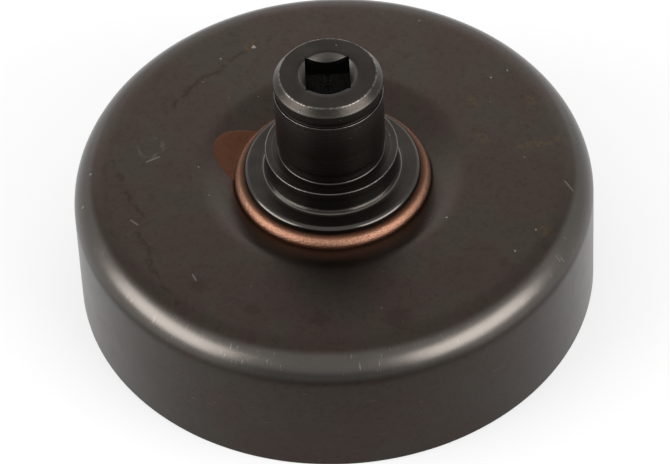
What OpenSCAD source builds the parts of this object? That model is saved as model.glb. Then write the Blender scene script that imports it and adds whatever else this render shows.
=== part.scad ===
// Clutch drum of a brush cutter: a deep-drawn steel cup, a turned drive hub
// brazed into its dished centre, and the copper braze that holds the two.
// The axis is Z and the open mouth of the cup rests on Z = 0.

/* [Drum cup] */
// Outside diameter of the drum
drum_d = 82; // [70:0.5:110]
// Thickness of the sheet, the same in the wall and in the plate
sheet = 2; // [1.2:0.1:2.5]
// Height of the drum from its mouth to the top of the plate
drum_h = 23.7; // [20:0.1:36]
// Inside radius of the bend between wall and plate
bend_in = 3.5; // [1.5:0.1:6]
// Width of the bevel inside the mouth
mouth_bevel = 0.5; // [0.2:0.1:0.8]
// Radius on the outer edge of the mouth
mouth_round = 0.4; // [0.2:0.1:0.8]

/* [Dish round the hub] */
// How far the floor of the dish runs on past the hub's flange
dish_margin = 0.5; // [0.3:0.1:3]
// Depth of the dish
dish_depth = 2.2; // [1.6:0.1:2.6]
// Slope of the dish, in degrees
dish_slope = 22; // [20:1:30]
// Radius of the upper edge of the dish
dish_lip = 6; // [3.5:0.1:7]
// Radius at the foot of the dish's slope
dish_foot = 3; // [2:0.1:4]

/* [Drive hub] */
// Diameter of the bearing seat, and of the band above the ring groove
seat_d = 17; // [16:0.1:18]
// Length of the bearing seat from the shoulder to the ring groove
seat_len = 12.55; // [9:0.05:13]
// Diameter of the shoulder that the bearing rests against
shoulder_d = 20.9; // [20:0.1:22.4]
// Height of the shoulder above the flange
shoulder_h = 4.15; // [2.5:0.05:4.5]
// Radius at the foot of the shoulder
shoulder_foot = 0.9; // [0.3:0.1:1.2]
// Diameter of the flange
flange_d = 27.8; // [26.6:0.1:28.4]
// Thickness of the flange, from the floor of the dish up
flange_t = 3.1; // [2.4:0.1:4]
// Radius on the upper edge of the flange
flange_round = 0.7; // [0.3:0.1:0.9]
// Diameter of the spigot that passes through the plate
spigot_d = 22; // [19:0.1:24]
// How far the spigot stands out of the plate inside the drum
spigot_out = 0.8; // [0.3:0.1:1.2]
// Width of the bevel on the spigot's end
spigot_bevel = 0.5; // [0.2:0.1:0.8]

/* [Relief at the foot of the bearing seat] */
// Depth of the relief
relief_depth = 0.3; // [0.1:0.05:0.4]
// Length of the relief, its run-out included
relief_len = 2.5; // [2:0.1:3]
// Radius in the corner of the relief
relief_round = 0.6; // [0.3:0.1:0.8]
// Angle of the run-out, in degrees
relief_angle = 15; // [12:1:30]

/* [Ring groove and lead] */
// Width of the groove for the retaining ring
groove_w = 1.1; // [0.9:0.05:1.4]
// Depth of the groove
groove_depth = 0.4; // [0.2:0.05:0.6]
// Length of the plain band between the groove and the lead
band_len = 1.3; // [0.8:0.1:6]
// Length of the tapered lead at the free end
lead_len = 1.3; // [0.6:0.1:1.6]
// How much the lead takes off the radius
lead_in = 0.92; // [0.4:0.02:1.2]
// Width of the broken edges of shoulder and groove
edge_break = 0.12; // [0.05:0.01:0.2]

/* [Drive socket] */
// Size across the flats of the square socket
square_af = 6.9; // [5:0.1:7.4]
// Diameter of the countersink at each end of the socket
sink_d = 9.1; // [7.6:0.1:10]

/* [Copper braze] */
// How far the bead reaches out from the flange
bead_w = 1.6; // [1:0.05:1.8]
// Height of the bead on the flange, above the floor of the dish
bead_h = 1.95; // [1.2:0.05:2.2]
// How much the bead bulges beyond a straight line
bead_bulge = 0.16; // [0.05:0.01:0.25]
// How far the spilt copper reaches beyond the bead
spill_reach = 4.1; // [2:0.1:4.5]
// Half the angle that the spill takes up round the hub, in degrees
spill_half = 21; // [12:1:30]
// Direction of the spill, in degrees from +X towards +Y
spill_dir = 158; // [0:1:359]
// Thickness of the spilt copper
spill_t = 0.12; // [0.08:0.01:0.2]

/* [Hidden] */
$fn = 96;

drum_r = drum_d / 2;
bend_out = bend_in + sheet;
flange_r = flange_d / 2;
dish_floor = drum_h - dish_depth;
plate_inside = dish_floor - sheet;
// The dish is flat up to dish_floor_r, curves up to foot_end_r, rises straight,
// and curves over into the flat plate, which it meets at dish_r
dish_floor_r = flange_r + dish_margin;
foot_end_r = dish_floor_r + dish_foot * sin(dish_slope);
dish_r = dish_floor_r + (dish_lip + dish_foot) * sin(dish_slope)
    + (dish_depth - (dish_lip + dish_foot) * (1 - cos(dish_slope))) / tan(dish_slope);

seat_r = seat_d / 2;
shoulder_r = shoulder_d / 2;
spigot_r = spigot_d / 2;
flange_top = dish_floor + flange_t;
shoulder_top = flange_top + shoulder_h;
groove_low = shoulder_top + seat_len;
groove_top = groove_low + groove_w;
hub_top = groove_top + band_len + lead_len;
groove_r = seat_r - groove_depth;
spigot_end = plate_inside - spigot_out;
relief_r = seat_r - relief_depth;
relief_run = relief_depth / tan(relief_angle);

bead_top = dish_floor + bead_h;
bead_r = flange_r + bead_w;
spill_steps = 24;
// The cutters reach this far past the surfaces that they cut through
past = 1;

// How far the dish has risen above its floor at radius r, up to its straight slope
function dish_rise(r) = r <= dish_floor_r ? 0
    : r <= foot_end_r ? dish_foot - sqrt(pow(dish_foot, 2) - pow(r - dish_floor_r, 2))
    : dish_foot * (1 - cos(dish_slope)) + (r - foot_end_r) * tan(dish_slope);

// The circular segment between the chord from p to q and the arc about c
module segment(c, r, p, q) {
    mid = (p + q) / 2;
    away = (mid - c) / norm(mid - c) * r;
    intersection() {
        translate(c) circle(r);
        polygon([p, q, q + away, p + away]);
    }
}

// Everything below the plate and inside the wall, taken in by inset from the
// drum's outer surface. The sheet is what lies between inset 0 and its thickness.
module below_surface(inset) {
    wall = drum_r - inset;
    top = drum_h - inset;
    floor_z = dish_floor - inset;
    bend = bend_out - inset;
    lip = dish_lip - inset;
    foot = dish_foot + inset;
    bend_c = [drum_r - bend_out, drum_h - bend_out];
    lip_c = [dish_r, drum_h - dish_lip];
    foot_c = [dish_floor_r, dish_floor + dish_foot];
    lip_end = lip_c + lip * [-sin(dish_slope), cos(dish_slope)];
    foot_end = foot_c + foot * [sin(dish_slope), -cos(dish_slope)];
    difference() {
        union() {
            polygon([
                [0, 0], [wall, 0], [wall, bend_c[1]], [bend_c[0], top], [dish_r, top],
                lip_end, foot_end, [dish_floor_r, floor_z], [0, floor_z]
            ]);
            segment(bend_c, bend, [wall, bend_c[1]], [bend_c[0], top]);
            segment(lip_c, lip, [dish_r, top], lip_end);
        }
        segment(foot_c, foot, foot_end, [dish_floor_r, floor_z]);
    }
}

// What a round edge of radius r takes off a square corner at the origin, where
// the material lies towards +X and +Y
module edge_round(r) {
    difference() {
        translate([-past, -past]) square(r + past);
        translate([r, r]) circle(r);
        translate([r, -past]) square(r + past);
        translate([-past, r]) square(r + past);
    }
}

module drum_cup() {
    color([0.36, 0.33, 0.31])
    rotate_extrude()
    difference() {
        below_surface(0);
        below_surface(sheet);
        translate([0, plate_inside - past]) square([spigot_r, sheet + 2 * past]);
        polygon([
            [drum_r - sheet - past, -past], [drum_r - sheet + mouth_bevel, -past],
            [drum_r - sheet + mouth_bevel, 0], [drum_r - sheet, mouth_bevel],
            [drum_r - sheet - past, mouth_bevel]
        ]);
        translate([drum_r, 0]) mirror([1, 0]) edge_round(mouth_round);
    }
}

// Half of the hub's section, turned about the Z axis
module hub_section() {
    difference() {
        union() {
            polygon([
                [0, spigot_end], [spigot_r - spigot_bevel, spigot_end],
                [spigot_r, spigot_end + spigot_bevel], [spigot_r, dish_floor],
                [flange_r, dish_floor], [flange_r, flange_top],
                [shoulder_r, flange_top],
                [shoulder_r, shoulder_top - edge_break],
                [shoulder_r - edge_break, shoulder_top],
                [relief_r, shoulder_top],
                [relief_r, shoulder_top + relief_len - relief_run],
                [seat_r, shoulder_top + relief_len],
                [seat_r, groove_low - edge_break], [seat_r - edge_break, groove_low],
                [groove_r, groove_low], [groove_r, groove_top],
                [seat_r - edge_break, groove_top], [seat_r, groove_top + edge_break],
                [seat_r, hub_top - lead_len], [seat_r - lead_in, hub_top], [0, hub_top]
            ]);
            corner_fill([shoulder_r, flange_top], shoulder_foot);
            corner_fill([relief_r, shoulder_top], relief_round);
        }
        translate([flange_r, flange_top]) mirror([1, 0]) mirror([0, 1])
            edge_round(flange_round);
    }
}

// The round fill of radius r in an inner corner at p that opens to +X and +Y
module corner_fill(p, r) {
    translate(p) difference() {
        square(r);
        translate([r, r]) circle(r);
    }
}

module socket_cutter() {
    translate([-square_af / 2, -square_af / 2, spigot_end - past])
        cube([square_af, square_af, hub_top - spigot_end + 2 * past]);
    rotate_extrude() polygon([
        [0, hub_top + past], [sink_d / 2 + past, hub_top + past], [0, hub_top - sink_d / 2]
    ]);
    rotate_extrude() polygon([
        [0, spigot_end - past], [sink_d / 2 + past, spigot_end - past],
        [0, spigot_end + sink_d / 2]
    ]);
}

module drive_hub() {
    color([0.27, 0.25, 0.23])
    difference() {
        rotate_extrude() hub_section();
        socket_cutter();
    }
}

// The bead fills the corner between the flange and the dish
module bead() {
    heel = [flange_r, bead_top];
    toe = [bead_r, dish_floor + dish_rise(bead_r)];
    chord = norm(toe - heel);
    bulge_r = (pow(chord / 2, 2) + pow(bead_bulge, 2)) / (2 * bead_bulge);
    inward = [heel[1] - toe[1], toe[0] - heel[0]] / -chord;
    bulge_c = (heel + toe) / 2 + inward * (bulge_r - bead_bulge);
    rotate_extrude() difference() {
        union() {
            polygon([[flange_r, dish_floor], [bead_r, dish_floor], toe, heel]);
            segment(bulge_c, bulge_r, heel, toe);
        }
        below_surface(0);
    }
}

// How far from the axis the edge of the spill lies, turn degrees off its middle
function spill_edge(turn) = bead_r + spill_reach * cos(90 * turn / spill_half);

// Copper that ran out of the joint and froze as a thin film in the dish
module spill() {
    intersection() {
        rotate_extrude() difference() {
            below_surface(-spill_t);
            below_surface(0);
            square([flange_r, dish_floor + sheet]);
        }
        translate([0, 0, dish_floor - past])
        linear_extrude(dish_depth + 2 * past)
        polygon(concat([[0, 0]], [
            for (i = [0:spill_steps])
                let (turn = spill_half * (2 * i / spill_steps - 1))
                spill_edge(turn) * [cos(spill_dir + turn), sin(spill_dir + turn)]
        ]));
    }
}

module braze_bead() {
    color([0.72, 0.45, 0.33]) union() {
        bead();
        spill();
    }
}

drum_cup();
drive_hub();
braze_bead();
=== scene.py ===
"""The clutch drum's visible pieces: a pressed cup, a turned hub and the copper that joins them."""

import math

import bmesh
import bpy
from mathutils import Matrix, Vector


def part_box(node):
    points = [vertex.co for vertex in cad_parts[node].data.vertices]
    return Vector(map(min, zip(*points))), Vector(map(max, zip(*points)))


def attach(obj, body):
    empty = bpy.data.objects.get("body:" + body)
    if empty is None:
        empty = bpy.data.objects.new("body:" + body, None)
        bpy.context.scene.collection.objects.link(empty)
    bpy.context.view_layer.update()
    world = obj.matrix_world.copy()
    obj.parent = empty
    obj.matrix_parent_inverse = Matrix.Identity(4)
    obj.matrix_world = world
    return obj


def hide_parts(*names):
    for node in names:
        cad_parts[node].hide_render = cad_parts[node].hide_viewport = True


bl_info = {
    "name": "Clutch Drum",
    "version": (1, 0, 0),
    "blender": (4, 5, 0),
    "location": "3D View > Sidebar > Clutch Drum",
    "description": "Makes a brazed clutch drum with worn steel and copper finishes",
    "category": "Object",
}

# Lengths are in metres. Shader patterns are worked out in millimetres.
MM = 0.001
MM_PER_M = 1000.0

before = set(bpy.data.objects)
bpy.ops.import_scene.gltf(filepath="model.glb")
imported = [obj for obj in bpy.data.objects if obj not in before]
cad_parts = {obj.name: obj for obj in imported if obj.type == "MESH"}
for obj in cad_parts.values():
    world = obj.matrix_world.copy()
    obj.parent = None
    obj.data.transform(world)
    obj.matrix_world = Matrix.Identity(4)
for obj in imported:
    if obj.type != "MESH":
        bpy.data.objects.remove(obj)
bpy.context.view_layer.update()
CUP_LOW, CUP_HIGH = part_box("drum_cup")
HUB_LOW, HUB_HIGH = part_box("drive_hub")
BODY = "root"

# Marks on the plate, in millimetres from the axis, with +X to the right and +Y to the back
VEINS = (
    ((-8, 30.2), (-11.3, 27.9), (-15.4, 25.1), (-17.5, 22.4), (-19.5, 21.7), (-22, 19.3), (-23.6, 16.7),
     (-25.9, 14.6)),
    ((-34.8, 3.7), (-33.4, 0.8), (-32.3, -3.6), (-30.3, -7.5), (-28.8, -9.2)),
    ((-30.8, -11.7), (-29.2, -15), (-28.9, -18.7), (-27, -23), (-24.8, -26.7)),
)
DARK_SPOTS = ((-21.6, -23.4, 1.9), (-13.5, -28.6, 1.7), (30.8, 7.0, 0.7), (-3.2, -31.5, 2.2), (9, -32.5, 3.2))
RUST_STAINS = (
    ((29.9, 2.7), (32.6, 2.9), (35.7, 4.0)), ((22.6, 13.1), (23.4, 12.6)), ((31.6, 12.7), (32.2, 12.2)),
    ((23.7, 5.1), (24.3, 4.4)), ((32.3, -16.0), (32.7, -15.2)), ((-11.7, 28.4), (-12.6, 27.4)),
)
BRIGHT_CHIPS = (
    (-11.7, 27.7, 0.42), (-17.1, 25.4, 0.26), (-19.9, 20.3, 0.28), (-11.2, 16.8, 0.22), (-20.9, 1.9, 0.22),
    (-38.2, 2.1, 0.30), (-39.5, -3.9, 0.26), (28.7, 19.6, 0.24), (26.1, 18.2, 0.22), (17.4, -11.8, 0.20),
    (14.9, -10.9, 0.18), (6.8, -22.4, 0.20), (6.5, -29.9, 0.20), (27.6, -19.5, 0.30), (31.1, -15.3, 0.24),
)
SCRATCHES = (
    ((-31.8, -8.9), (-30.8, -9.9)), ((-29.2, 3.5), (-27.2, 4.4)), ((36.2, -5.2), (37.3, -6.9)),
    ((-22.4, -21.0), (-21.9, -22.2)),
)
SCUFF = (-28.6, 6.5, 2.0)


def length(name, about, value):
    return bpy.props.FloatProperty(
        name=name, description=about, default=value, min=0, unit="LENGTH", precision=5
    )


def colour(name, about, value):
    return bpy.props.FloatVectorProperty(
        name=name, description=about, default=value, size=3, min=0, max=1, subtype="COLOR"
    )


class CupSizes(bpy.types.PropertyGroup):
    """Sizes of the pressed cup"""

    sheet: length("Sheet", "Thickness of the wall and the plate", 2 * MM)
    bend: length("Bend", "Outer radius of the bend between wall and plate", 5.5 * MM)
    mouth_round: length("Mouth round", "Radius on the outer edge of the mouth", 0.4 * MM)
    mouth_bevel: length("Mouth bevel", "Width of the bevel inside the mouth", 0.5 * MM)
    dish_depth: length("Dish depth", "Depth of the dish round the hub", 2.2 * MM)
    dish_margin: length("Dish margin", "Flat floor of the dish outside the hub's flange", 0.5 * MM)
    dish_slope: bpy.props.FloatProperty(
        name="Dish slope", description="Slope of the dish", default=math.radians(22), subtype="ANGLE"
    )
    dish_lip: length("Dish lip", "Radius of the dish's upper edge", 6 * MM)
    dish_foot: length("Dish foot", "Radius at the foot of the dish's slope", 3 * MM)
    waver: length("Waver", "How far the pressed surface wanders from a true turned one", 0.03 * MM)
    waver_size: length("Waver size", "Length of one wave in the pressed surface", 9 * MM)
    segments: bpy.props.IntProperty(name="Segments", description="Steps round the cup", default=400, min=32)


class HubSizes(bpy.types.PropertyGroup):
    """Sizes of the turned hub"""

    flange_thickness: length("Flange thickness", "From the floor of the dish up", 3.1 * MM)
    flange_round: length("Flange round", "Radius on the flange's upper edge", 0.7 * MM)
    shoulder_radius: length("Shoulder radius", "Radius of the shoulder under the bearing", 10.45 * MM)
    shoulder_height: length("Shoulder height", "Height of the shoulder above the flange", 4.15 * MM)
    shoulder_foot: length("Shoulder foot", "Radius at the foot of the shoulder", 0.9 * MM)
    seat_radius: length("Seat radius", "Radius of the bearing seat", 8.5 * MM)
    seat_length: length("Seat length", "From the shoulder to the ring groove", 12.55 * MM)
    relief_depth: length("Relief depth", "Depth of the relief at the foot of the seat", 0.3 * MM)
    relief_length: length("Relief length", "Length of the relief with its run-out", 2.5 * MM)
    groove_width: length("Groove width", "Width of the ring groove", 1.1 * MM)
    groove_depth: length("Groove depth", "Depth of the ring groove", 0.4 * MM)
    lead_length: length("Lead length", "Length of the tapered lead", 1.3 * MM)
    lead_in: length("Lead in", "How much the lead takes off the radius", 0.92 * MM)
    spigot_radius: length("Spigot radius", "Radius of the spigot in the plate", 11 * MM)
    spigot_bevel: length("Spigot bevel", "Bevel on the spigot's end", 0.5 * MM)
    square: length("Square", "Size across the flats of the socket", 6.9 * MM)
    sink: length("Countersink", "Diameter of the socket's countersinks", 9.1 * MM)
    edge: length("Edge", "Radius that turning and handling left on the edges", 0.1 * MM)
    segments: bpy.props.IntProperty(name="Segments", description="Steps round the hub", default=256, min=32)


class BrazeSizes(bpy.types.PropertyGroup):
    """Sizes of the copper bead and the spill"""

    width: length("Width", "How far the bead reaches out from the flange", 1.6 * MM)
    height: length("Height", "Height of the bead on the flange", 1.95 * MM)
    fullness: bpy.props.FloatProperty(
        name="Fullness", default=1.12,
        description="Power of the bead's curve: 1 is a quarter round, 2 is flat",
    )
    waver: length("Waver", "Unevenness of the frozen copper", 0.035 * MM)
    waver_size: length("Waver size", "Length of one wave in the copper", 1.4 * MM)
    spill_reach: length("Spill reach", "How far the spill runs out beyond the bead", 4.3 * MM)
    spill_thickness: length("Spill thickness", "Thickness of the spilt film", 0.12 * MM)
    spill_half: bpy.props.FloatProperty(
        name="Spill half angle", description="Half the angle that the spill takes up",
        default=math.radians(21), subtype="ANGLE",
    )
    spill_direction: bpy.props.FloatProperty(
        name="Spill direction", description="From +X towards +Y", default=math.radians(158), subtype="ANGLE"
    )
    segments: bpy.props.IntProperty(name="Segments", description="Steps round the bead", default=900, min=32)


class FinishColours(bpy.types.PropertyGroup):
    """Colours of the finishes"""

    scale_grey: colour("Scale grey", "Grey mill scale", (0.0395, 0.0325, 0.0269))
    scale_brown: colour("Scale brown", "Purple-brown mill scale", (0.0405, 0.0296, 0.0256))
    scale_stain: colour("Scale stain", "Dark stains in the scale", (0.0230, 0.0160, 0.0120))
    rust: colour("Rust", "Thin rust on the plate", (0.062, 0.042, 0.021))
    burnish: colour("Burnish", "Steel rubbed bright on the bend", (0.078, 0.070, 0.063))
    bright: colour("Bright steel", "Fresh steel in nicks and on edges", (0.36, 0.335, 0.31))
    hub: colour("Hub", "Turned steel darkened by the brazing heat", (0.0290, 0.0245, 0.0210))
    # This colour also paints a highlight on the upper part of the bearing seat
    hub_wear_and_highlight: colour("Worn hub", "Turned steel where handling rubbed the dark off", (0.066, 0.060, 0.054))
    # This colour is also a painted highlight on the bead's crest band
    copper: colour("Copper", "Frozen copper on the crest of the bead", (0.335, 0.178, 0.120))
    copper_dull: colour("Dull copper", "Oxidised copper of the spill", (0.072, 0.030, 0.0165))
    # This colour also paints shade on the bead's upper part next to the flange
    copper_dark: colour("Dark copper", "Copper that flux and heat blackened", (0.030, 0.014, 0.008))


class StudioSettings(bpy.types.PropertyGroup):
    """Camera, lamps and floor"""

    elevation: bpy.props.FloatProperty(
        name="Elevation", description="Camera's elevation", default=math.radians(47.31), subtype="ANGLE"
    )
    roll: bpy.props.FloatProperty(
        name="Roll", description="Camera's roll", default=math.radians(-2.96), subtype="ANGLE"
    )
    distance: length("Distance", "From the camera to the point it looks at", 798.8 * MM)
    aim_height: length("Aim height", "Height of the point that the camera looks at", 8.92 * MM)
    aim_left: length("Aim left", "How far left of the axis the camera looks", 0.12 * MM)
    lens: bpy.props.FloatProperty(name="Lens", description="Focal length in millimetres", default=269.4)
    floor_size: length("Floor size", "Radius of the floor", 2.5)
    box_distance: length("Box distance", "From the drum to the soft boxes", 0.6)


GROUPS = {
    "drum_cup_sizes": CupSizes,
    "drum_hub_sizes": HubSizes,
    "drum_braze_sizes": BrazeSizes,
    "drum_colours": FinishColours,
    "drum_studio": StudioSettings,
}


class Field:
    """One output socket of a node tree, with arithmetic that adds Math nodes"""

    def __init__(self, graph, socket):
        self.graph = graph
        self.socket = socket

    def math(self, operation, *others):
        return self.graph.node("ShaderNodeMath", {"operation": operation}, dict(enumerate((self, *others))))

    def __add__(self, other):
        return self.math("ADD", other)

    def __sub__(self, other):
        return self.math("SUBTRACT", other)

    def __rsub__(self, other):
        return (self * -1) + other

    def __mul__(self, other):
        return self.math("MULTIPLY", other)

    def __truediv__(self, other):
        return self.math("DIVIDE", other)

    def __rtruediv__(self, other):
        return (self**-1) * other

    def __pow__(self, other):
        return self.math("POWER", other)

    __radd__ = __add__
    __rmul__ = __mul__

    def step(self, low, high):
        """0 at low, 1 at high and smooth between them. Low may be the larger."""
        return self.graph.node(
            "ShaderNodeMapRange",
            {"interpolation_type": "SMOOTHSTEP"},
            {"Value": self, "From Min": low, "From Max": high},
        )

    def band(self, low, high, soft):
        """1 between low and high, fading to 0 over soft on each side"""
        return self.step(low - soft, low) * self.step(high + soft, high)


class Graph:
    """A node tree that nodes are added to and linked in as they are made"""

    def __init__(self, tree):
        self.tree = tree

    def node(self, kind, settings=None, inputs=None, output=0):
        """Adds a node, sets it up, fills its sockets with numbers or links, and gives one output"""
        made = self.tree.nodes.new(kind)
        for name, value in (settings or {}).items():
            setattr(made, name, value)
        for name, value in (inputs or {}).items():
            if isinstance(value, Field):
                self.tree.links.new(value.socket, made.inputs[name])
            else:
                made.inputs[name].default_value = value
        return Field(self, made.outputs[output])

    def vector(self, operation, *inputs, output="Vector"):
        return self.node("ShaderNodeVectorMath", {"operation": operation}, dict(enumerate(inputs)), output)

    def scaled(self, vector, factor):
        return self.node("ShaderNodeVectorMath", {"operation": "SCALE"}, {"Vector": vector, "Scale": factor})

    def combine(self, x, y, z):
        return self.node("ShaderNodeCombineXYZ", inputs={"X": x, "Y": y, "Z": z})

    def split(self, vector):
        made = self.node("ShaderNodeSeparateXYZ", inputs={"Vector": vector}).socket.node
        return [Field(self, made.outputs[axis]) for axis in "XYZ"]

    def mix(self, factor, first, second):
        """A colour between two colours"""
        settings = {"data_type": "RGBA", "clamp_factor": True}
        return self.node("ShaderNodeMix", settings, {0: factor, 6: first, 7: second}, 2)

    def noise(self, place, size, detail=2.0, roughness=0.5, shift=0.0, output="Fac"):
        """Smooth noise from 0 to 1 with waves about size long, in the units of place"""
        inputs = {"Vector": place, "W": shift, "Scale": 1.0 / size, "Detail": detail, "Roughness": roughness}
        return self.node("ShaderNodeTexNoise", {"noise_dimensions": "4D"}, inputs, output)


def rgba(value):
    return (*value, 1.0)


class Finish(Graph):
    """A metal finish: a principled shader whose patterns are worked out in object millimetres"""

    def __init__(self, name, metallic=1.0):
        self.material = bpy.data.materials.new(name)
        self.material.use_nodes = True
        super().__init__(self.material.node_tree)
        self.tree.nodes.clear()
        self.shader = self.tree.nodes.new("ShaderNodeBsdfPrincipled")
        self.shader.inputs["Metallic"].default_value = metallic
        surface = self.tree.nodes.new("ShaderNodeOutputMaterial")
        self.tree.links.new(self.shader.outputs[0], surface.inputs["Surface"])
        self.place = self.scaled(self.node("ShaderNodeTexCoord", output="Object"), MM_PER_M)
        self.x, self.y, self.z = self.split(self.place)
        self.radius = (self.x * self.x + self.y * self.y) ** 0.5

    def set(self, **sockets):
        for name, value in sockets.items():
            self.tree.links.new(value.socket, self.shader.inputs[name.replace("_", " ")])

    def bump(self, height, depth, normal=None):
        """Turns height, 0 to 1, into a relief of that depth in millimetres"""
        inputs = {"Strength": 1.0, "Distance": depth * MM, "Height": height}
        if normal:
            inputs["Normal"] = normal
        self.set(Normal=self.node("ShaderNodeBump", inputs=inputs, output="Normal"))

    def spread_along_axis(self, tilt):
        """The surface's normal, tipped up or down the axis, as fine turning marks do"""
        normal = self.node("ShaderNodeNewGeometry", output="Normal")
        tipped = self.vector("ADD", normal, self.combine(0.0, 0.0, tilt))
        return self.vector("NORMALIZE", tipped)

    def specks(self, place, spacing, size, share, shift=0.0):
        """Small dots of about the given size, one to a cell of the given spacing in a share of the cells"""
        shifted = self.vector("ADD", place, (shift, shift, shift))
        inputs = {"Vector": shifted, "Scale": 1.0 / spacing}
        cell = self.node("ShaderNodeTexVoronoi", inputs=inputs).socket.node
        near = Field(self, cell.outputs["Distance"]).step(size / spacing, 0.5 * size / spacing)
        chosen = self.split(Field(self, cell.outputs["Color"]))[0].step(share + 0.01, share)
        return near * chosen

    def spot(self, place, centre, size):
        """1 at a spot of the flattened place, fading to 0 at that distance"""
        away = self.vector("DISTANCE", place, (*centre, 0.0), output="Value")
        return away.step(size, 0.35 * size)

    def any_of(self, masks):
        """The strongest of several masks"""
        strongest = masks[0]
        for mask in masks[1:]:
            strongest = strongest.math("MAXIMUM", mask)
        return strongest

    def edge(self, radius, height, width):
        """1 on a turned edge at that radius and height, fading to 0 at that distance"""
        across, up = self.radius - radius, self.z - height
        return ((across * across + up * up) ** 0.5).step(width, 0.4 * width)

    def round_and_along(self, across, along_size, along):
        """A seamless place for marks that are across wide round the axis and along_size long beside it"""
        out = 1.0 / (self.radius * across)
        reach = 40.0
        return self.combine(self.x * out * reach, self.y * out * reach, along / along_size)

    def distance_to_path(self, place, points):
        """Distance to the nearest of the straight lines that join the points, in millimetres"""
        nearest = None
        for start, end in zip(points, points[1:]):
            start, end = Vector((*start, 0)), Vector((*end, 0))
            along = end - start
            offset = self.vector("SUBTRACT", place, tuple(start))
            share = self.vector("DOT_PRODUCT", offset, tuple(along / along.length_squared), output="Value")
            share = share.math("MINIMUM", 1.0).math("MAXIMUM", 0.0)
            foot = self.scaled(tuple(along), share)
            away = self.vector("LENGTH", self.vector("SUBTRACT", offset, foot), output="Value")
            nearest = away if nearest is None else nearest.math("MINIMUM", away)
        return nearest


def corner_arc(before, corner, after, radius, step=math.radians(5), fewest=3):
    """Points of the arc of a radius that rounds a corner between two straight lines"""
    towards, onwards = (before - corner).normalized(), (after - corner).normalized()
    half = 0.5 * towards.angle(onwards)
    if radius <= 0 or half > math.radians(89.9):
        return [corner]
    reach = radius / math.tan(half)
    centre = corner + (towards + onwards).normalized() * radius / math.sin(half)
    first, last = corner + towards * reach - centre, corner + onwards * reach - centre
    turn = math.pi - 2 * half
    steps = max(fewest, math.ceil(turn / step))
    side = 1 if first.x * last.y - first.y * last.x > 0 else -1
    arc = [centre + Matrix.Rotation(side * turn * i / steps, 2) @ first for i in range(steps + 1)]
    # A point close outside each end of the arc keeps the shading of the straight line flat
    guard = 0.4 * radius
    return [arc[0] + towards * guard, *arc, arc[-1] + onwards * guard]


def outline(corners, closed, longest):
    """A profile through corners given as (radius, height, rounding), with no straight step over longest"""
    spots = [Vector(corner[:2]) for corner in corners]
    count = len(corners)
    points = []
    for i, (spot, corner) in enumerate(zip(spots, corners)):
        if not closed and i in (0, count - 1):
            points.append(spot)
            continue
        points += corner_arc(spots[i - 1], spot, spots[(i + 1) % count], corner[2])
    filled = []
    for start, end in zip(points, points[1:] + points[:1] if closed else points[1:]):
        steps = max(1, math.ceil((end - start).length / longest))
        filled += [start.lerp(end, i / steps) for i in range(steps)]
    return filled if closed else filled + [points[-1]]


def turned_form_tree():
    """Geometry Nodes that turn a profile in the XZ plane about Z and let the surface waver a little"""
    tree = bpy.data.node_groups.new("turned_form", "GeometryNodeTree")
    kinds = {
        "Profile": "NodeSocketGeometry",
        "Segments": "NodeSocketInt",
        "Waver": "NodeSocketFloat",
        "Waver Size": "NodeSocketFloat",
        "Seed": "NodeSocketFloat",
        "Finish": "NodeSocketMaterial",
    }
    for name, kind in kinds.items():
        tree.interface.new_socket(name, in_out="INPUT", socket_type=kind)
    tree.interface.new_socket("Form", in_out="OUTPUT", socket_type="NodeSocketGeometry")
    graph = Graph(tree)
    given = tree.nodes.new("NodeGroupInput")
    profile, segments, waver, waver_size, seed, finish = [Field(graph, given.outputs[name]) for name in kinds]
    position = graph.node("GeometryNodeInputPosition")
    radius, _, height = graph.split(position)
    # The path is a circle of this radius, and the profile is drawn about it
    path_radius = 0.01
    drawn = graph.combine(radius - path_radius, height * -1, 0.0)
    section = graph.node("GeometryNodeMeshToCurve", inputs={"Mesh": profile})
    section = graph.node("GeometryNodeSetPosition", inputs={"Geometry": section, "Position": drawn})
    inputs = {"Resolution": segments, "Radius": path_radius}
    circle = graph.node("GeometryNodeCurvePrimitiveCircle", inputs=inputs)
    path = graph.node("GeometryNodeSetCurveNormal", {"mode": "Z_UP"}, {"Curve": circle})
    form = graph.node("GeometryNodeCurveToMesh", inputs={"Curve": path, "Profile Curve": section})
    wave = graph.node(
        "ShaderNodeTexNoise",
        {"noise_dimensions": "4D"},
        {"Vector": position, "W": seed, "Scale": 1 / waver_size, "Detail": 2.0},
    )
    shift = graph.scaled(graph.node("GeometryNodeInputNormal"), (wave - 0.5) * waver * 2)
    form = graph.node("GeometryNodeSetPosition", inputs={"Geometry": form, "Offset": shift})
    form = graph.node("GeometryNodeRealizeInstances", inputs={"Geometry": form})
    form = graph.node("GeometryNodeSetMaterial", inputs={"Geometry": form, "Material": finish})
    out = tree.nodes.new("NodeGroupOutput")
    tree.links.new(form.socket, out.inputs["Form"])
    return tree


def turned_form(name, profile, closed, material, segments, waver=0.0, waver_size=MM, seed=0.0):
    """An object turned from a profile, as a plain mesh"""
    count = len(profile)
    edges = [(i, (i + 1) % count) for i in range(count if closed else count - 1)]
    mesh = bpy.data.meshes.new(name)
    mesh.from_pydata([(point.x, 0.0, point.y) for point in profile], edges, [])
    drawn = bpy.data.objects.new(name, mesh)
    bpy.context.scene.collection.objects.link(drawn)
    tree = bpy.data.node_groups.get("turned_form") or turned_form_tree()
    modifier = drawn.modifiers.new("turned_form", "NODES")
    modifier.node_group = tree
    values = {
        "Segments": segments, "Waver": waver, "Waver Size": waver_size, "Seed": seed, "Finish": material,
    }
    for item in tree.interface.items_tree:
        if item.in_out == "INPUT" and item.name in values:
            modifier[item.identifier] = values[item.name]
    evaluated = drawn.evaluated_get(bpy.context.evaluated_depsgraph_get())
    drawn.data = bpy.data.meshes.new_from_object(evaluated)
    drawn.modifiers.clear()
    bpy.data.meshes.remove(mesh)
    return drawn


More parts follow.
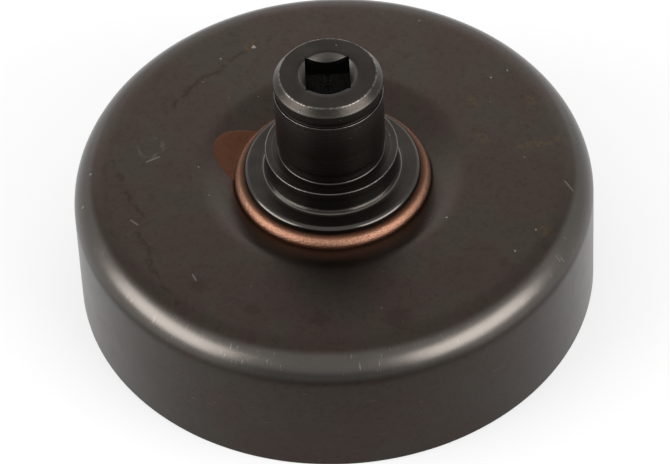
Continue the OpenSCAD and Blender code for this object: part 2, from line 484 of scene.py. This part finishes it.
def close_and_smooth(piece, material, sharp=math.radians(50)):
    """Merges doubles, points the faces outwards and shades the piece smooth up to a sharp angle"""
    bm = bmesh.new()
    bm.from_mesh(piece.data)
    bmesh.ops.remove_doubles(bm, verts=bm.verts, dist=0.5e-6)
    bmesh.ops.recalc_face_normals(bm, faces=bm.faces)
    bm.to_mesh(piece.data)
    bm.free()
    piece.data.materials.clear()
    piece.data.materials.append(material)
    piece.data.polygons.foreach_set("material_index", [0] * len(piece.data.polygons))
    piece.data.polygons.foreach_set("use_smooth", [True] * len(piece.data.polygons))
    piece.data.set_sharp_from_angle(angle=sharp)
    piece.data.name = piece.name


def settle(piece, node):
    """Makes the piece stand for a CAD node and move with the part"""
    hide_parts(node)
    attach(piece, BODY)


def cup_surface(sizes):
    """Corners of the cup's outer surface, from the mouth up, over the plate and down into the dish"""
    outer, top = CUP_HIGH.x, CUP_HIGH.z
    floor = top - sizes.dish_depth
    foot = HUB_HIGH.x + sizes.dish_margin + sizes.dish_foot * math.tan(sizes.dish_slope / 2)
    lip = foot + sizes.dish_depth / math.tan(sizes.dish_slope)
    return [
        (outer, top, sizes.bend), (lip, top, sizes.dish_lip), (foot, floor, sizes.dish_foot),
    ]


def cup_profile(sizes, hole):
    """The cup's closed section: its outer surface, and the same taken in by the sheet"""
    outside = cup_surface(sizes)
    (outer, top, bend), (lip, _, lip_round), (foot, floor, foot_round) = outside
    sheet, low = sizes.sheet, CUP_LOW.z
    inner, shift = outer - sheet, sheet * math.tan(sizes.dish_slope / 2)
    corners = [(outer, low, sizes.mouth_round), *outside, (hole, floor, 0), (hole, floor - sheet, 0.0)]
    corners += [
        (foot + shift, floor - sheet, foot_round + sheet), (lip + shift, top - sheet, lip_round - sheet),
        (inner, top - sheet, bend - sheet), (inner, low + sizes.mouth_bevel, 0.05 * MM),
        (inner + sizes.mouth_bevel, low, 0.05 * MM),
    ]
    return outline(corners, True, 1.4 * MM)


class CLUTCHDRUM_OT_cup(bpy.types.Operator):
    """Make the pressed cup, wall and plate in one piece"""

    bl_idname = "clutch_drum.cup"
    bl_label = "Pressed cup"

    def execute(self, context):
        sizes = context.scene.drum_cup_sizes
        hub = context.scene.drum_hub_sizes
        material = drum_scale_finish(context.scene)
        profile = cup_profile(sizes, hub.spigot_radius)
        piece = turned_form(
            "pressed_cup", profile, True, material, sizes.segments, sizes.waver, sizes.waver_size, 3.0
        )
        close_and_smooth(piece, material)
        settle(piece, "drum_cup")
        return {"FINISHED"}


def hub_profile(sizes, floor, mouth):
    """The hub's outer section, from the lower socket's mouth round to the upper one's"""
    low, top = HUB_LOW.z, HUB_HIGH.z
    flange, edge = HUB_HIGH.x, sizes.edge
    flange_top = floor + sizes.flange_thickness
    shoulder = flange_top + sizes.shoulder_height
    relief = sizes.seat_radius - sizes.relief_depth
    run_out = sizes.relief_depth / math.tan(math.radians(15))
    groove = shoulder + sizes.seat_length
    groove_top = groove + sizes.groove_width
    groove_floor = sizes.seat_radius - sizes.groove_depth
    spigot, bevel = sizes.spigot_radius, sizes.spigot_bevel
    return outline([
        (mouth, low, 0), (spigot - bevel, low, edge), (spigot, low + bevel, edge), (spigot, floor, 0),
        (flange, floor, 0), (flange, flange_top, sizes.flange_round),
        (sizes.shoulder_radius, flange_top, sizes.shoulder_foot),
        (sizes.shoulder_radius, shoulder, 1.7 * edge), (relief, shoulder, 2.5 * edge),
        (relief, shoulder + sizes.relief_length - run_out, 3 * edge),
        (sizes.seat_radius, shoulder + sizes.relief_length, 3 * edge),
        (sizes.seat_radius, groove, 0.8 * edge),
        (groove_floor, groove, 0.5 * edge), (groove_floor, groove_top, 0.5 * edge),
        (sizes.seat_radius, groove_top, 0.8 * edge), (sizes.seat_radius, top - sizes.lead_length, 1.5 * edge),
        (sizes.seat_radius - sizes.lead_in, top, 1.2 * edge), (mouth, top, 0),
    ], False, 1.6 * MM)


def socket_rings(sizes, mouth):
    """Rings of the square socket from top to bottom, each a function from an angle to a radius and height"""
    low, top = HUB_LOW.z, HUB_HIGH.z
    sink, half, lip = sizes.sink / 2, sizes.square / 2, 0.5 * sizes.edge

    def square(angle):
        return half / max(abs(math.cos(angle)), abs(math.sin(angle)))

    def depth(angle, beyond=0.0):
        return max(0.0, sink + beyond - square(angle))

    return [
        lambda a: (mouth, top),
        lambda a: (max(sink + lip, square(a) + lip), top),
        lambda a: (max(sink, square(a)), top - 0.4 * lip),
        lambda a: (max(sink - lip, square(a)), top - max(lip, 0.4 * lip)),
        lambda a: (square(a), top - lip - max(0.0, sink - lip - square(a))),
        lambda a: (square(a), top - 2 * lip - depth(a) - 0.3 * MM),
        lambda a: (square(a), low + 2 * lip + depth(a) + 0.3 * MM),
        lambda a: (square(a), low + lip + max(0.0, sink - lip - square(a))),
        lambda a: (max(sink - lip, square(a)), low + lip),
        lambda a: (max(sink, square(a)), low + 0.4 * lip),
        lambda a: (max(sink + lip, square(a) + lip), low),
        lambda a: (mouth, low),
    ]


def add_rings(bm, rings, segments):
    """Joins closed rings into a tube, with as many steps round as the turned form that it meets"""
    rows = []
    for ring in rings:
        row = []
        for i in range(segments):
            angle = 2 * math.pi * i / segments
            radius, height = ring(angle)
            row.append(bm.verts.new((radius * math.cos(angle), radius * math.sin(angle), height)))
        rows.append(row)
    for upper, lower in zip(rows, rows[1:]):
        for i in range(segments):
            j = (i + 1) % segments
            bm.faces.new((upper[i], upper[j], lower[j], lower[i]))


class CLUTCHDRUM_OT_hub(bpy.types.Operator):
    """Make the turned hub with its square socket"""

    bl_idname = "clutch_drum.hub"
    bl_label = "Turned hub"

    def execute(self, context):
        sizes = context.scene.drum_hub_sizes
        floor = CUP_HIGH.z - context.scene.drum_cup_sizes.dish_depth
        material = turned_steel_finish(context.scene, floor)
        mouth = sizes.square / math.sqrt(2) + 4 * sizes.edge
        piece = turned_form("turned_hub", hub_profile(sizes, floor, mouth), False, material, sizes.segments)
        bm = bmesh.new()
        bm.from_mesh(piece.data)
        add_rings(bm, socket_rings(sizes, mouth), sizes.segments)
        bm.to_mesh(piece.data)
        bm.free()
        close_and_smooth(piece, material, math.radians(40))
        settle(piece, "drive_hub")
        return {"FINISHED"}


def height_at(surface, radius):
    """Height of a profile at a radius, between its points"""
    for start, end in zip(surface, surface[1:]):
        low, high = sorted((start.x, end.x))
        if low <= radius <= high and high > low:
            share = (radius - start.x) / (end.x - start.x)
            return start.y + share * (end.y - start.y)
    return surface[-1].y


def bead_profile(sizes, surface, floor):
    """The bead's closed section: a quarter round between flange and dish, with its back sunk in the steel"""
    heel = Vector((HUB_HIGH.x, floor + sizes.height))
    toe_radius = HUB_HIGH.x + sizes.width
    toe = Vector((toe_radius, height_at(surface, toe_radius)))
    steps = 20
    face = []
    for i in range(steps + 1):
        turn = 0.5 * math.pi * i / steps
        face.append(Vector((
            heel.x + (toe.x - heel.x) * math.sin(turn) ** sizes.fullness,
            toe.y + (heel.y - toe.y) * math.cos(turn) ** sizes.fullness,
        )))
    sunk = 0.15 * MM
    inside = Vector((heel.x - sunk, floor - sunk))
    return [heel - Vector((sunk, 0)), *face, toe - Vector((0, sunk)), inside]


def add_spill(bm, sizes, surface):
    """The film of copper that ran out into the dish and froze"""
    columns, rows = 72, 26
    toe = HUB_HIGH.x + sizes.width
    start = toe - 0.3 * MM
    top, bottom = [], []
    for i in range(columns + 1):
        turn = sizes.spill_half * (2 * i / columns - 1)
        edge = toe + sizes.spill_reach * math.cos(0.5 * math.pi * turn / sizes.spill_half)
        edge = max(edge, start + 0.02 * MM)
        angle = sizes.spill_direction + turn
        for j in range(rows + 1):
            share = math.sin(0.5 * math.pi * j / rows)
            radius = start + (edge - start) * share
            film = sizes.spill_thickness * (1 - share**8) ** 0.5
            height = height_at(surface, radius)
            x, y = radius * math.cos(angle), radius * math.sin(angle)
            top.append(bm.verts.new((x, y, height + film)))
            bottom.append(bm.verts.new((x, y, height - 0.1 * MM)))
    row = rows + 1
    for i in range(columns):
        for j in range(rows):
            a, b, c, d = i * row + j, i * row + j + 1, (i + 1) * row + j + 1, (i + 1) * row + j
            bm.faces.new([top[k] for k in (a, b, c, d)])
            bm.faces.new([bottom[k] for k in (d, c, b, a)])
    border = [j for j in range(rows)] + [i * row + rows for i in range(columns)]
    border += [columns * row + j for j in range(rows, 0, -1)] + [i * row for i in range(columns, 0, -1)]
    for a, b in zip(border, border[1:] + border[:1]):
        bm.faces.new((top[a], top[b], bottom[b], bottom[a]))


class CLUTCHDRUM_OT_braze(bpy.types.Operator):
    """Make the copper bead round the hub and the spill beside it"""

    bl_idname = "clutch_drum.braze"
    bl_label = "Copper braze"

    def execute(self, context):
        sizes = context.scene.drum_braze_sizes
        cup = context.scene.drum_cup_sizes
        floor = CUP_HIGH.z - cup.dish_depth
        corners = [(CUP_HIGH.x, 0, 0), *cup_surface(cup), (0, floor, 0)]
        surface = outline(corners, False, 1.4 * MM)
        material = copper_finish(context.scene)
        profile = bead_profile(sizes, surface, floor)
        piece = turned_form(
            "copper_braze", profile, True, material, sizes.segments, sizes.waver, sizes.waver_size, 8.0
        )
        bm = bmesh.new()
        bm.from_mesh(piece.data)
        add_spill(bm, sizes, surface)
        bm.to_mesh(piece.data)
        bm.free()
        close_and_smooth(piece, material)
        settle(piece, "braze_bead")
        return {"FINISHED"}


def drum_scale_finish(scene):
    """Drawn steel under a thin brown-grey scale, stained on the plate and rubbed bright at the bend"""
    colours, sizes = scene.drum_colours, scene.drum_cup_sizes
    finish = Finish("drum_scale")
    place = finish.place
    flat = finish.combine(finish.x, finish.y, 0.0)
    inputs = {"Vector": flat, "Scale": 0.7, "Detail": 4.0}
    noise = finish.node("ShaderNodeTexNoise", inputs=inputs, output="Color")
    ragged = finish.vector("ADD", flat, finish.scaled(finish.vector("SUBTRACT", noise, (0.5, 0.5, 0.5)), 2.4))
    top = CUP_HIGH.z * MM_PER_M
    on_plate = finish.z.step(top - 3.0, top - 2.4)

    cloud = finish.noise(place, 11.0, 3.0, 0.55)
    mottle = finish.noise(place, 3.2, 5.0, 0.62, shift=4.0)
    grain = finish.noise(place, 0.20, 3.0, 0.6, shift=7.0)
    base = finish.mix(cloud.step(0.43, 0.57), rgba(colours.scale_grey), rgba(colours.scale_brown))
    speckle = finish.noise(place, 0.7, 4.0, 0.65, shift=13.0)
    dulled = mottle.step(0.55, 0.76) * 0.26 + speckle.step(0.46, 0.70) * 0.40
    base = finish.mix(dulled, base, rgba(colours.scale_stain))

    broken = finish.noise(place, 1.6, 3.0, shift=2.0).step(0.36, 0.56)
    veins = finish.any_of([finish.distance_to_path(ragged, points).step(0.7, 0.10) for points in VEINS])
    veins = veins * broken
    spots = finish.any_of([finish.spot(ragged, mark[:2], mark[2]) for mark in DARK_SPOTS])
    stained = veins.math("MAXIMUM", spots * 0.6) * on_plate
    base = finish.mix(stained * 0.68, base, rgba(colours.scale_stain))
    rust = finish.any_of([finish.distance_to_path(ragged, points).step(1.15, 0.35) for points in RUST_STAINS])
    rust = rust * on_plate * finish.noise(place, 0.7, 3.0, shift=5.0).step(0.36, 0.60)
    base = finish.mix(rust * 0.6, base, rgba(colours.rust))

    bend = sizes.bend * MM_PER_M
    across = finish.radius - (CUP_HIGH.x * MM_PER_M - bend)
    up = finish.z - (top - bend)
    turn = up.math("ARCTAN2", across) * (180 / math.pi)
    on_bend = turn.band(22, 54, 14) * finish.radius.step(34.0, 36.0)
    rubbed = on_bend * (0.82 + 0.36 * grain) * (0.75 + 0.5 * mottle)
    base = finish.mix(rubbed, base, rgba(colours.burnish))

    on_wall = finish.z.step(top - 4.5, top - 7.0)
    lines = finish.noise(finish.round_and_along(0.16, 2.2, turn * 0.1), 1.0, 1.0, shift=3.0).step(0.67, 0.76)
    drawn = finish.noise(finish.round_and_along(2.6, 0.16, finish.z), 1.0, 1.0, shift=9.0).step(0.69, 0.77)
    patch = finish.noise(place, 7.0, 2.0, shift=6.0).step(0.46, 0.62)
    scratched = lines * on_bend * 0.9 + drawn * on_wall * patch * 0.7
    paths = [finish.distance_to_path(flat, points).step(0.22, 0.06) for points in SCRATCHES]
    ring = (finish.vector("DISTANCE", ragged, (*SCUFF[:2], 0.0), output="Value") - SCUFF[2]).math("ABSOLUTE")
    scratched = scratched + (finish.any_of(paths) + ring.step(0.5, 0.1) * broken * 0.35) * on_plate * 0.7
    jagged = finish.vector("ADD", flat, finish.scaled(finish.vector("SUBTRACT", noise, (0.5, 0.5, 0.5)), 1.1))
    chips = finish.any_of([finish.spot(jagged, mark[:2], mark[2]) for mark in BRIGHT_CHIPS]) * on_plate
    dust = finish.specks(place, 2.3, 0.16, 0.16) + finish.specks(place, 5.0, 0.3, 0.12, 40.0)
    nicked = (chips * 0.75 + dust * 0.2 + scratched * 0.4).math("MINIMUM", 1.0)
    base = finish.mix(nicked * 0.6, base, rgba(colours.bright))

    toe = (HUB_HIGH.x + scene.drum_braze_sizes.width) * MM_PER_M
    left = finish.x.step(-3.0, -12.0) * 0.5
    wetted = finish.radius.step(toe + 1.5, toe + 0.1) * left * mottle.step(0.35, 0.6)
    base = finish.mix(wetted * finish.z.step(top + 0.5, top), base, rgba(colours.copper_dull))
    finish.set(Base_Color=base)
    finish.set(Roughness=0.315 + 0.09 * (mottle - 0.5) + stained * 0.05 - rubbed * 0.02)
    pits = finish.noise(place, 0.9, 4.0, 0.7, shift=11.0)
    finish.bump(grain * 0.45 + pits * 0.4 + mottle * 0.8 - scratched * 0.5 - chips, 0.016)
    return finish.material


def turned_steel_finish(scene, floor):
    """Turned steel that the brazing heat darkened, rubbed bright on its edges, with painted highlights on the
    top of the bearing seat and in the shoulder's foot fillet
    """
    colours, sizes = scene.drum_colours, scene.drum_hub_sizes
    finish = Finish("turned_steel")
    place, radius, z = finish.place, finish.radius, finish.z
    top = HUB_HIGH.z * MM_PER_M
    flange_top = (floor + sizes.flange_thickness) * MM_PER_M
    shoulder = flange_top + sizes.shoulder_height * MM_PER_M
    groove = shoulder + sizes.seat_length * MM_PER_M
    groove_top = groove + sizes.groove_width * MM_PER_M
    seat_radius, shoulder_radius = sizes.seat_radius * MM_PER_M, sizes.shoulder_radius * MM_PER_M
    end_radius = (sizes.seat_radius - sizes.lead_in) * MM_PER_M

    cloud = finish.noise(place, 4.0, 4.0, 0.6)
    fine = finish.noise(place, 0.5, 4.0, 0.65, shift=3.0)
    rings = finish.noise(finish.combine(radius, z, 0.0), 0.20, 2.0, 0.6, shift=2.0)
    darker = rgba([0.75 * value for value in colours.hub])
    base = finish.mix(cloud.step(0.35, 0.65), rgba(colours.hub), darker)
    on_shoulder = z.band(flange_top, shoulder, 0.2) * radius.step(seat_radius, seat_radius + 0.5)
    on_lead = z.step(top - sizes.lead_length * MM_PER_M - 0.1, top - sizes.lead_length * MM_PER_M + 0.1)
    on_lead = on_lead * radius.step(end_radius - 0.1, end_radius + 0.1)
    on_band = z.band(groove_top, top, 0.1) * radius.step(seat_radius - 0.3, seat_radius - 0.1)
    on_seat = z.band(shoulder, groove, 0.1) * radius.step(shoulder_radius - 0.5, shoulder_radius - 1.0)
    flange_radius = HUB_HIGH.x * MM_PER_M
    on_rim = finish.edge(flange_radius - 0.2, flange_top - 0.2, 0.55)
    # The seat takes the worn colour lightly, and a painted highlight brightens it more towards the groove at
    # its top
    seat_wear_and_highlight = on_seat * (0.05 + 0.45 * z.step(groove - 7.0, groove))
    wear_and_highlight = seat_wear_and_highlight + on_lead * (0.04 + 0.22 * fine) + on_band * 0.3 + on_rim * 0.7
    wear_and_highlight = wear_and_highlight + on_shoulder * rings.step(0.45, 0.7) * 0.6
    base = finish.mix(wear_and_highlight.math("MINIMUM", 1.0), base, rgba(colours.hub_wear_and_highlight))

    broken = finish.noise(place, 0.45, 3.0, 0.6, shift=8.0).step(0.32, 0.62)
    edges = finish.any_of([
        finish.edge(end_radius, top, 0.20) * broken,
        finish.edge(shoulder_radius, shoulder, 0.26) * (0.55 + 0.45 * broken),
        finish.edge(seat_radius, groove, 0.16) * (0.35 + 0.65 * broken),
        finish.edge(seat_radius - sizes.relief_depth * MM_PER_M, shoulder, 0.16) * 0.5,
    ])
    foot = finish.edge(shoulder_radius + 0.25, flange_top + 0.25, 0.42)
    sunk = (sizes.sink / 2 + sizes.edge) * MM_PER_M
    in_sink = radius.step(sunk, sunk - 0.15) * z.step(top - 1.6, top - 0.1)
    scuffs = finish.noise(finish.round_and_along(0.5, 0.12, z + radius), 1.0, 2.0, shift=5.0).step(0.68, 0.78)
    marks = finish.specks(place, 1.5, 0.14, 0.22) * 0.35 + scuffs * (0.12 + on_lead * 0.4)
    # Bright turning marks in the shoulder's foot fillet, which also paint a highlight there
    foot_marks_and_highlight = foot * rings.step(0.35, 0.65)
    shown = (edges * 0.30 + foot_marks_and_highlight * 0.20 + in_sink * 0.12 + marks).math("MINIMUM", 1.0)
    base = finish.mix(shown, base, rgba(colours.bright))
    finish.set(Base_Color=base)
    polished = finish.any_of([edges, foot, on_rim])
    finish.set(Roughness=0.36 + 0.10 * (cloud - 0.5) + 0.06 * (fine - 0.5) - 0.17 * polished)
    lined = 0.35 + on_shoulder * 0.9
    marks = finish.noise(finish.combine(radius, z, 0.0), 0.05, 1.0, shift=6.0) - 0.5
    tilt = marks * (on_seat * 2.2 + on_shoulder * 2.4 + on_band * 1.6)
    finish.bump(rings * lined + fine * 0.35 - scuffs * 0.3, 0.012, finish.spread_along_axis(tilt))
    return finish.material


def copper_finish(scene):
    """Frozen copper: bright and grainy on the crest of the bead, where it is also a painted highlight, with
    painted shade on its upper part by the flange, and dull where it spilt
    """
    colours, sizes = scene.drum_colours, scene.drum_braze_sizes
    finish = Finish("braze_copper")
    place = finish.place
    floor = (CUP_HIGH.z - scene.drum_cup_sizes.dish_depth) * MM_PER_M
    heel = HUB_HIGH.x * MM_PER_M
    toe = heel + sizes.width * MM_PER_M
    turn = (finish.z - floor - 0.1).math("ARCTAN2", finish.radius - heel) * (180 / math.pi)
    grain = finish.noise(place, 0.32, 3.0, 0.6)
    patches = finish.noise(place, 1.8, 3.0, 0.6, shift=4.0)
    on_bead = finish.radius.step(toe + 0.1, toe - 0.1)
    # The crest band is brighter copper and also a painted highlight: its grainy brightening sits where the
    # lamps' highlight falls
    crest = turn.band(32, 54, 16) * on_bead
    # Painted shade: darkens the bead's upper part next to the flange, under its edge
    dark = turn.step(62, 84) * on_bead
    base = finish.mix(patches.step(0.35, 0.65) * 0.5, rgba(colours.copper_dull), rgba(
        [1.25 * value for value in colours.copper_dull]))
    base = finish.mix(dark * 0.72, base, rgba(colours.copper_dark))
    shiny_and_highlight = on_bead * (1 - dark) * 0.16 + crest * (0.9 + 3.0 * (grain - 0.5)) * 0.5
    base = finish.mix(shiny_and_highlight.math("MINIMUM", 1.0), base, rgba(colours.copper))
    film = finish.radius.step(toe + 0.05, toe + 0.5)
    blotch = film * finish.noise(place, 1.1, 4.0, 0.6, shift=9.0).step(0.52, 0.70)
    base = finish.mix(blotch * 0.25, base, rgba(colours.copper_dark))
    finish.set(Base_Color=base)
    finish.set(Roughness=0.46 + 0.10 * (patches - 0.5) + film * 0.04)
    finish.bump(grain * (1 - film * 0.7) + patches * 0.4, 0.14)
    return finish.material


def floor_material():
    """White floor that keeps the drum's shadow, darker out in front for reflections"""
    material = bpy.data.materials.new("studio_floor")
    material.use_nodes = True
    graph = Graph(material.node_tree)
    graph.tree.nodes.clear()
    x, y, _ = graph.split(graph.node("ShaderNodeTexCoord", output="Object"))
    out_in_front = y.step(-0.045, -0.085) * (x / y).math("ABSOLUTE").step(1.2, 0.5)
    light_path = graph.node("ShaderNodeLightPath").socket.node
    camera = Field(graph, light_path.outputs["Is Camera Ray"])
    glossy = Field(graph, light_path.outputs["Is Glossy Ray"])
    glow = camera * 0.6 + glossy * (1 - out_in_front) * 0.6
    lit = graph.node("ShaderNodeBsdfDiffuse", inputs={"Color": (0.25, 0.25, 0.25, 1)})
    glowing = graph.node("ShaderNodeEmission", inputs={"Color": (1, 1, 1, 1), "Strength": glow})
    mixed = graph.node("ShaderNodeAddShader", inputs={0: lit, 1: glowing})
    surface = graph.tree.nodes.new("ShaderNodeOutputMaterial")
    graph.tree.links.new(mixed.socket, surface.inputs["Surface"])
    return material


def studio_world():
    """White surroundings, which reflections show dark low in front, where the camera stood"""
    world = bpy.data.worlds.new("studio")
    world.use_nodes = True
    graph = Graph(world.node_tree)
    _, y, z = graph.split(graph.node("ShaderNodeTexCoord", output="Generated"))
    camera = Field(graph, graph.node("ShaderNodeLightPath").socket.node.outputs["Is Camera Ray"])
    dark = y.step(-0.6, -0.9) * z.step(0.25, 0.0) * 0.85
    shown = (1 - dark).math("MAXIMUM", camera)
    background = graph.tree.nodes["Background"]
    background.inputs["Color"].default_value = (1, 1, 1, 1)
    graph.tree.links.new(shown.socket, background.inputs["Strength"])
    return world


def soft_box(name, azimuth, elevation, distance, width, height, watts):
    """An area lamp that faces the drum. Azimuth 0 is in front, and positive is towards +X."""
    lamp = bpy.data.lights.new(name, "AREA")
    lamp.shape = "RECTANGLE"
    lamp.size, lamp.size_y = width, height
    lamp.energy = watts
    box = bpy.data.objects.new(name, lamp)
    azimuth, elevation = math.radians(azimuth), math.radians(elevation)
    flat = math.cos(elevation)
    direction = Vector((flat * math.sin(azimuth), -flat * math.cos(azimuth), math.sin(elevation)))
    box.location = direction * distance + Vector((0, 0, CUP_HIGH.z))
    box.rotation_euler = direction.to_track_quat("Z", "Y").to_euler()
    bpy.context.scene.collection.objects.link(box)
    return box


class CLUTCHDRUM_OT_studio(bpy.types.Operator):
    """Set up the camera, the floor and the lamps"""

    bl_idname = "clutch_drum.studio"
    bl_label = "Studio"

    def execute(self, context):
        scene, settings = context.scene, context.scene.drum_studio
        data = bpy.data.cameras.new("camera")
        data.lens = settings.lens
        camera = bpy.data.objects.new("camera", data)
        tilt = Matrix.Rotation(math.pi / 2 - settings.elevation, 4, "X")
        turn = tilt @ Matrix.Rotation(settings.roll, 4, "Z")
        aim = Matrix.Translation((-settings.aim_left, 0, settings.aim_height))
        camera.matrix_world = aim @ turn @ Matrix.Translation((0, 0, settings.distance))
        scene.collection.objects.link(camera)
        scene.camera = camera

        bm = bmesh.new()
        bmesh.ops.create_circle(bm, cap_ends=True, segments=64, radius=settings.floor_size)
        mesh = bpy.data.meshes.new("studio_floor")
        bm.to_mesh(mesh)
        bm.free()
        mesh.materials.append(floor_material())
        floor = bpy.data.objects.new("studio_floor", mesh)
        scene.collection.objects.link(floor)

        scene.world = studio_world()
        soft_box("right_box", 54, 21, settings.box_distance, 0.55, 0.34, 4.4)
        soft_box("left_box", -71, 21, settings.box_distance, 0.55, 0.34, 4.4)
        soft_box("back_box", 180, 27, 0.29, 0.5, 0.22, 0.26)
        scene.view_settings.view_transform = "Standard"
        return {"FINISHED"}


PIECES = ("cup", "hub", "braze", "studio")


class CLUTCHDRUM_PT_panel(bpy.types.Panel):
    """The drum's sizes, colours and pieces"""

    bl_label = "Clutch Drum"
    bl_idname = "CLUTCHDRUM_PT_panel"
    bl_space_type = "VIEW_3D"
    bl_region_type = "UI"
    bl_category = "Clutch Drum"

    def draw(self, context):
        for attribute, group in GROUPS.items():
            box = self.layout.box()
            box.label(text=group.__doc__)
            for name in group.__annotations__:
                box.prop(getattr(context.scene, attribute), name)
        for piece in PIECES:
            self.layout.operator(f"clutch_drum.{piece}")


CLASSES = (
    *GROUPS.values(), CLUTCHDRUM_OT_cup, CLUTCHDRUM_OT_hub, CLUTCHDRUM_OT_braze, CLUTCHDRUM_OT_studio,
    CLUTCHDRUM_PT_panel,
)


def register():
    for item in CLASSES:
        bpy.utils.register_class(item)
    for attribute, group in GROUPS.items():
        setattr(bpy.types.Scene, attribute, bpy.props.PointerProperty(type=group))


def unregister():
    for attribute in GROUPS:
        delattr(bpy.types.Scene, attribute)
    for item in reversed(CLASSES):
        bpy.utils.unregister_class(item)


def main():
    register()
    for piece in PIECES:
        getattr(bpy.ops.clutch_drum, piece)()


if __name__ == "__main__":
    main()
